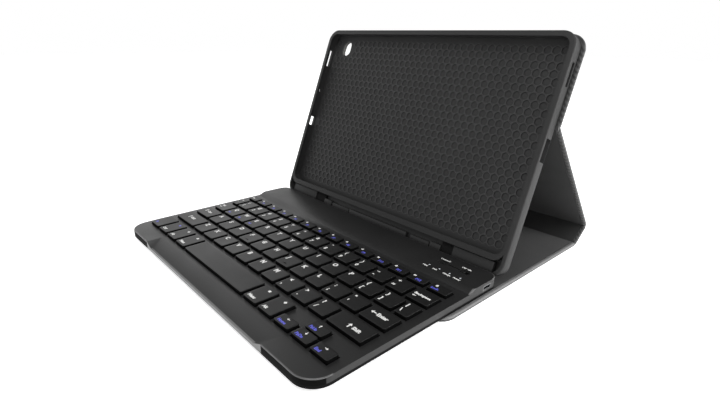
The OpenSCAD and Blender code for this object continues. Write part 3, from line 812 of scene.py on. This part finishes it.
key_nodes = sorted(n for n in frame["nodes"] if n.endswith("_key") or n.endswith("_keys"))
boxes_of = {node: key_boxes(node) for node in key_nodes}
for node in key_nodes:
    caps = bmesh.new()
    for low, high in boxes_of[node]:
        add_cap(caps, low, high)
    if node == "home_letter_keys":
        # Homing bars on the two index-finger keys, the fourth and the seventh.
        for low, high in (boxes_of[node][3], boxes_of[node][6]):
            spot = Vector(((low.x + high.x) / 2, low.y + 3.2 * MM, high.z))
            bar = Matrix.Translation(spot) @ Matrix.Diagonal((*(HOMING_BAR * MM), 1))
            made = bmesh.ops.create_cube(caps, size=1, matrix=bar)
            bar_edges = {e for v in made["verts"] for e in v.link_edges}
            bmesh.ops.bevel(caps, geom=list(bar_edges), offset=0.15 * MM, segments=2, profile=0.5,
                            affect="EDGES", material=-1)
    piece = sharpen(finish(caps, node.replace("_key", "_cap"), [key_abs, painted_shade_side_abs]), 40)
    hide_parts(node)
    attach(piece, node)

# ---- Key legends ----
# Letters and plain symbols, pad-printed on each cap in white, with a violet-blue second
# colour for what a key does with Fn. Each legend is a film of ink on the floor of the dish.
INK_T = 0.012
INK_WEAR = 1.43
BOLD = 0.05


def ink(name, colour):
    """A thin, slightly uneven coat of pad-printing ink: flat, with hardly any shine."""
    material, surface = new_material(name, {"Roughness": 0.5})
    where = add(material, "TexCoord").outputs["Object"]
    wear = add(material, "TexNoise", {"Scale": noise_scale(INK_WEAR), "Detail": 3.0}, Vector=where)
    two_tone(material, surface, wear, [linear(colour, 0.8), linear(colour)])
    return material


white_ink = ink("white_pad_print", "#e6e6e4")
blue_ink = ink("violet_blue_pad_print", "#585bca")


def write(bm, text, size, x, y, z, colour=0):
    """Adds a word or letter of a size in millimetres, left edge at x and baseline at y."""
    curve = bpy.data.curves.new("word", "FONT")
    curve.body = text
    curve.size = size * MM
    curve.offset = BOLD * size * MM
    curve.extrude = INK_T * MM
    curve.resolution_u = 2
    holder = bpy.data.objects.new("word", curve)
    bpy.context.scene.collection.objects.link(holder)
    bpy.context.view_layer.update()
    graph = bpy.context.evaluated_depsgraph_get()
    mesh = bpy.data.meshes.new_from_object(holder.evaluated_get(graph))
    mesh.transform(Matrix.Translation((x, y, z + INK_T * MM)))
    mesh.polygons.foreach_set("material_index", [colour] * len(mesh.polygons))
    mesh.update()
    bm.from_mesh(mesh)
    bpy.data.objects.remove(holder)
    bpy.data.curves.remove(curve)
    bpy.data.meshes.remove(mesh)


def mark(bm, outline, size, x, y, z, colour=0):
    """Adds a flat symbol from its outline, drawn in a unit square."""
    points = [Vector((x + u * size * MM, y + v * size * MM, z)) for u, v in outline]
    start = len(bm.faces)
    face = bm.faces.new([bm.verts.new(p) for p in points])
    face.normal_update()
    grown = bmesh.ops.extrude_face_region(bm, geom=[face])
    tops = [g for g in grown["geom"] if isinstance(g, bmesh.types.BMVert)]
    bmesh.ops.translate(bm, vec=(0, 0, 2 * INK_T * MM), verts=tops)
    bm.faces.ensure_lookup_table()
    fresh = bm.faces[start:]
    bmesh.ops.recalc_face_normals(bm, faces=fresh)
    for face in fresh:
        face.material_index = colour


ARROW = [(0, 0.4), (0.55, 0.4), (0.55, 0.15), (1, 0.5), (0.55, 0.85), (0.55, 0.6), (0, 0.6)]
BOX = [(0.1, 0.1), (0.9, 0.1), (0.9, 0.75), (0.1, 0.75)]
DIAMOND = [(0.5, 0), (1, 0.5), (0.5, 1), (0, 0.5)]
LOCK = [(0.1, 0), (0.9, 0), (0.9, 0.6), (0.75, 0.6), (0.75, 1), (0.25, 1), (0.25, 0.6), (0.1, 0.6)]


def turned_outline(outline, quarter_turns):
    """The outline turned about the middle of its unit square."""
    angle = quarter_turns * math.pi / 2
    c, s = math.cos(angle), math.sin(angle)
    return [(0.5 + (u - 0.5) * c - (v - 0.5) * s, 0.5 + (u - 0.5) * s + (v - 0.5) * c)
            for u, v in outline]


# Sizes of the printing, its margin at a cap's left and its height above the dish's floor.
# Caps deeper than DEEP_CAP carry a second sign, and those under SLIM_CAP wide a thin margin.
LETTER, PAIRED, SECOND, SYMBOL = 4.9, 4.2, 2.8, 2.4
INSET = 2.2
ON_DISH = 0.002
DEEP_CAP = 15
SLIM_CAP = 11
rows_of_letters = {
    "top_letter_keys": "QWERTYUIOP",
    "home_letter_keys": "ASDFGHJKL",
    "bottom_letter_keys": "ZXCVBNM",
}
pairs = {
    "top_letter_keys": ["{[", "}]", "|\\"],
    "home_letter_keys": [":;", "\"'"],
    "bottom_letter_keys": ["<,", ">.", "?/"],
    "number_keys": ["~`", "!1", "@2", "#3", "$4", "%5", "^6", "&7", "*8", "(9", ")0", "_-", "+="],
}
words = {
    "escape_key": ("Esc", 2.8), "tab_key": ("Tab", 3.2), "caps_lock_key": ("Caps", 3.2),
    "left_shift_key": ("Shift", 3.4), "right_shift_key": ("Shift", 3.4),
    "enter_key": ("Enter", 3.8), "backspace_key": ("Backspace", 3.0), "ctrl_key": ("Ctrl", 3.2),
    "left_alt_key": ("Alt", 3.2), "right_alt_key": ("Alt", 3.2),
    "left_system_key": ("Menu", 3.2), "right_system_key": ("Menu", 3.2),
}
# Quarter turns from pointing right, for the arrow keys, the arrows before and below a word.
arrow_keys = {"left_arrow_key": (2, "Home"), "right_arrow_key": (0, "End"),
              "up_arrow_key": (1, "PgUp"), "down_arrow_key": (3, "PgDn")}
arrow_before = {"left_shift_key": 1, "right_shift_key": 1, "caps_lock_key": 1, "enter_key": 2}
arrow_below = {"backspace_key": 2, "tab_key": 0}


def print_letter(bm, node, i, low, high, z):
    """A key of a letter row or the number row: a large letter, or two signs one above the other."""
    x, back, front = low.x + INSET * MM, high.y - 5.0 * MM, low.y + 2.6 * MM
    letters = rows_of_letters.get(node, "")
    if i < len(letters):
        write(bm, letters[i], LETTER, x, back - 0.4 * MM, z)
        if node == "top_letter_keys" and i < 3:
            write(bm, "M" + str(i + 1), 2.5, x, front, z, 1)
    else:
        upper, lower = pairs[node][i - len(letters)]
        if high.x - low.x < SLIM_CAP * MM:
            x -= 1 * MM
        write(bm, upper, PAIRED, x, back + 0.2 * MM, z)
        write(bm, lower, PAIRED, x, front + 0.4 * MM, z)


def print_word(bm, node, low, high, z):
    """A key with a word, an arrow before or below it, and a second sign on the deep caps."""
    text, size = words[node]
    deep = high.y - low.y > DEEP_CAP * MM
    x = (low.x + high.x) / 2 - 2.6 * MM if node in arrow_before else low.x + (INSET - 0.4) * MM
    y = low.y + 2.2 * MM if deep else (low.y + high.y) / 2 - 0.6 * MM
    if node == "right_shift_key":
        x += 4.5 * MM
        y -= 1.6 * MM
    if node == "escape_key":
        y = low.y + 2.8 * MM
    write(bm, text, size, x, y, z)
    if node in arrow_before:
        mark(bm, turned_outline(ARROW, arrow_before[node]), 4.2, x - 4.9 * MM, y - 0.8 * MM, z)
    if node in arrow_below:
        mark(bm, turned_outline(ARROW, arrow_below[node]), 3.0, low.x + INSET * MM, y - 3.6 * MM, z)
    if deep:
        mark(bm, DIAMOND if "alt" in node else BOX, 2.6, low.x + (INSET + 4.6) * MM, high.y - 4.6 * MM, z,
             1 if node == "ctrl_key" else 0)


for node in key_nodes:
    legend = bmesh.new()
    for i, (low, high) in enumerate(boxes_of[node]):
        x, top_y = low.x + INSET * MM, high.y - 3.4 * MM
        z = high.z - (DISH_DEPTH - ON_DISH) * MM
        if node in rows_of_letters or node in pairs:
            print_letter(legend, node, i, low, high, z)
        elif node == "function_keys":
            mark(legend, BOX if i % 2 else DIAMOND, SYMBOL, x - 0.6 * MM, top_y, z)
            write(legend, "F" + str(i + 1), 3.0, x + 3.8 * MM, low.y + 1.7 * MM, z, 1)
        elif node in arrow_keys:
            turns, word = arrow_keys[node]
            mark(legend, turned_outline(ARROW, turns), SYMBOL, x + 3.4 * MM, top_y, z)
            write(legend, word, SECOND, x - 0.2 * MM, low.y + 1.4 * MM, z, 1)
        elif node == "lock_key":
            mark(legend, LOCK, 2.2, x + 0.8 * MM, top_y, z)
            write(legend, "Lock", SECOND, x, low.y + 1.3 * MM, z, 1)
        elif node == "fn_key":
            write(legend, "Fn", 3.2, x, low.y + 2.6 * MM, z, 1)
        elif node in words:
            print_word(legend, node, low, high, z)
    if legend.faces:
        piece = finish(legend, node.replace("_key", "_legend"), [white_ink, blue_ink])
        sharpen(piece, 20)
        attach(piece, node)
    else:
        legend.free()

# ---- Rear bar controls and labels ----
# A round-ended connect button, a sliding power knob, and four lamps behind pinholes, with
# pad-printed words beside them.
CONTROL_ROUND = 0.25
LAMP_D = 1.2
LAMP_WORD, SWITCH_WORD = 2.1, 2.3
for node, name, body in (("power_switch_knob", "power_knob_cap", "power_knob"),
                         ("connect_button", "connect_button_cap", "connect_key")):
    piece = softened(node, name, [key_abs], CONTROL_ROUND)
    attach(piece, body)

lamp_low, lamp_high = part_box("indicator_lamps")
bar_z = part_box("keyboard_top_shell")[1].z
lamp_step = (lamp_high.x - lamp_low.x - LAMP_D * MM) / 3
labels = bmesh.new()
for i, text in enumerate(("Caps", "Link", "Charge", "Power")):
    write(labels, text, LAMP_WORD, lamp_low.x + i * lamp_step - 3.2 * MM, lamp_low.y - 2.6 * MM, bar_z)
button_low, button_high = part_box("connect_button")
knob_low, knob_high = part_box("power_switch_knob")
write(labels, "Connect", SWITCH_WORD, button_low.x - 2.2 * MM, button_high.y + 2.6 * MM, bar_z)
write(labels, "Off  On", SWITCH_WORD, knob_low.x - 2.0 * MM, knob_high.y + 2.6 * MM, bar_z)
piece = sharpen(finish(labels, "bar_labels", [white_ink]), 20)
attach(piece, "keyboard")

# ---- Charge socket surround ----
# A thin insert of polished ABS, pressed into the opening in the shell's side wall, in the same
# lighter grey as the rim, a painted highlight. Its round-ended hole guides the charging plug into the socket
# behind it.
INSERT = Vector((8.5, 3.1, 0.8))
INSERT_HOLE = (8.0, 2.7, 3)
INSERT_Z = 7.9
PROUD = -0.02
socket_low, socket_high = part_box("charge_socket")
insert = cutter((0, 0, 0), INSERT, 0.3)
insert = cut(insert, [cutter((0, 0, 0), INSERT_HOLE, 1.3)])
outward = Matrix(((0, 0, 1, 0), (1, 0, 0, 0), (0, 1, 0, 0), (0, 0, 0, 1)))
shell_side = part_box("keyboard_top_shell")[1].x
insert_x = shell_side + (PROUD - INSERT.z / 2) * MM
insert_place = Matrix.Translation((insert_x, (socket_low.y + socket_high.y) / 2, INSERT_Z * MM)) @ outward
piece = sharpen(finish(insert, "socket_surround", [painted_highlight_abs], insert_place), 30)
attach(piece, "keyboard")

# ---- Feet, socket and the parts inside ----
# Small metal, rubber and plastic parts keep their CAD shapes and get their own finishes. The
# plated parts are bright, the rubber and the fibre board are dull, and the films are glossy.
DRIFT = 2.5


def plain_finish(name, colour, roughness, metallic=0.0):
    """A finish with a slight grain and colour drift."""
    material, surface = new_material(name, {"Roughness": roughness, "Metallic": metallic})
    where = add(material, "TexCoord").outputs["Object"]
    drift = add(material, "TexNoise", {"Scale": noise_scale(DRIFT), "Detail": 3.0}, Vector=where)
    two_tone(material, surface, drift, [linear(colour, 0.85), linear(colour)], drift, 0.15, 0.1)
    return material


finishes = {
    "greyboard": plain_finish("grey_fibre_board", "#6b6a66", 0.9),
    "magnet": plain_finish("nickel_plate", "#b9babd", 0.3, 1.0),
    "adhesive": plain_finish("adhesive_film", "#c9c5b8", 0.5),
    "plate_steel": plain_finish("zinc_plated_steel", "#a4a7aa", 0.35, 1.0),
    "membrane_film": plain_finish("polyester_film", "#cfcfbe", 0.35),
    "scissor_pom": plain_finish("acetal", "#e8e8e2", 0.4),
    "dome_silicone": plain_finish("clear_silicone", "#c3c6ca", 0.45),
    "board_green": plain_finish("green_solder_mask", "#1e5b33", 0.35),
    "cell_foil": plain_finish("pouch_cell_foil", "#c2c5c9", 0.3, 1.0),
    "connector_steel": plain_finish("nickel_plated_steel", "#6c6e70", 0.35, 1.0),
    "lamp_pc": plain_finish("polycarbonate_light_pipe", "#dfe4ea", 0.15),
    "foot_rubber": plain_finish("silicone_rubber", "#181818", 0.7),
    "screw_steel": plain_finish("black_zinc_steel", "#55575a", 0.4, 1.0),
}
slot_of = {row["node"]: row["material_slot"] for row in frame["record"]["subparts"]}
for node, obj in frame["nodes"].items():
    if slot_of[node] in finishes:
        obj.data.materials.clear()
        obj.data.materials.append(finishes[slot_of[node]])

# ---- Table, backdrop and lights ----
# A white paper sweep under soft studio light from above and from both sides. The paper glows
# a little, so that it stays white up to the horizon.
PAPER_CLOUD = 167
SWEEP = 4.0
paper, surface = new_material(
    "white_paper_sweep", {"Roughness": 0.9, "Emission Color": (1, 1, 1, 1), "Emission Strength": 0.7})
where = add(paper, "TexCoord").outputs["Object"]
fleck = add(paper, "TexNoise", {"Scale": noise_scale(PAPER_CLOUD), "Detail": 2.0}, Vector=where)
two_tone(paper, surface, fleck, [linear("#f2f2f2"), linear("#f8f8f8")])
sweep = bmesh.new()
bmesh.ops.create_grid(sweep, x_segments=1, y_segments=1, size=SWEEP)
table = finish(sweep, "table", [paper])

# Sky of the studio: white towards the horizon, dimmer overhead.
world = bpy.data.worlds.new("studio")
world.use_nodes = True
towards = add(world, "TexCoord")
split = add(world, "SeparateXYZ", None, Vector=towards.outputs["Generated"])
sky = add(world, "ValToRGB", None, Fac=split.outputs["Z"])
sky.color_ramp.elements[0].color = (1, 1, 1, 1)
sky.color_ramp.elements[0].position = 0.3
sky.color_ramp.elements[1].color = (0.2, 0.2, 0.2, 1)
sky.color_ramp.elements[1].position = 0.66
feed(world, sky.outputs["Color"], world.node_tree.nodes["Background"], "Color")
world.node_tree.nodes["Background"].inputs["Strength"].default_value = 1.0
bpy.context.scene.world = world


def softbox(name, place, aim, size, power):
    """A square area light at place, facing aim, with its power in watts."""
    data = bpy.data.lights.new(name, "AREA")
    data.size = size
    data.energy = power
    lamp = bpy.data.objects.new(name, data)
    lamp.location = place
    lamp.rotation_euler = (Vector(aim) - Vector(place)).to_track_quat("-Z", "Y").to_euler()
    bpy.context.scene.collection.objects.link(lamp)


softbox("top_softbox", (0.35, -0.45, 1.35), (0, 0, 0.05), 1.0, 12.5)
softbox("right_softbox", (1.0, 0.75, 0.6), (0.0, 0.0, 0.05), 0.5, 4)
softbox("low_right_softbox", (0.75, 0.32, 0.3), (0.1, 0.08, 0.02), 0.35, 3.2)
softbox("high_left_softbox", (-0.89, 0.08, 0.95), (0.0, 0.0, 0.05), 0.6, 1.0)
softbox("left_softbox", (-1.75, 0.55, 0.75), (0.0, 0.0, 0.05), 0.85, 2.4)
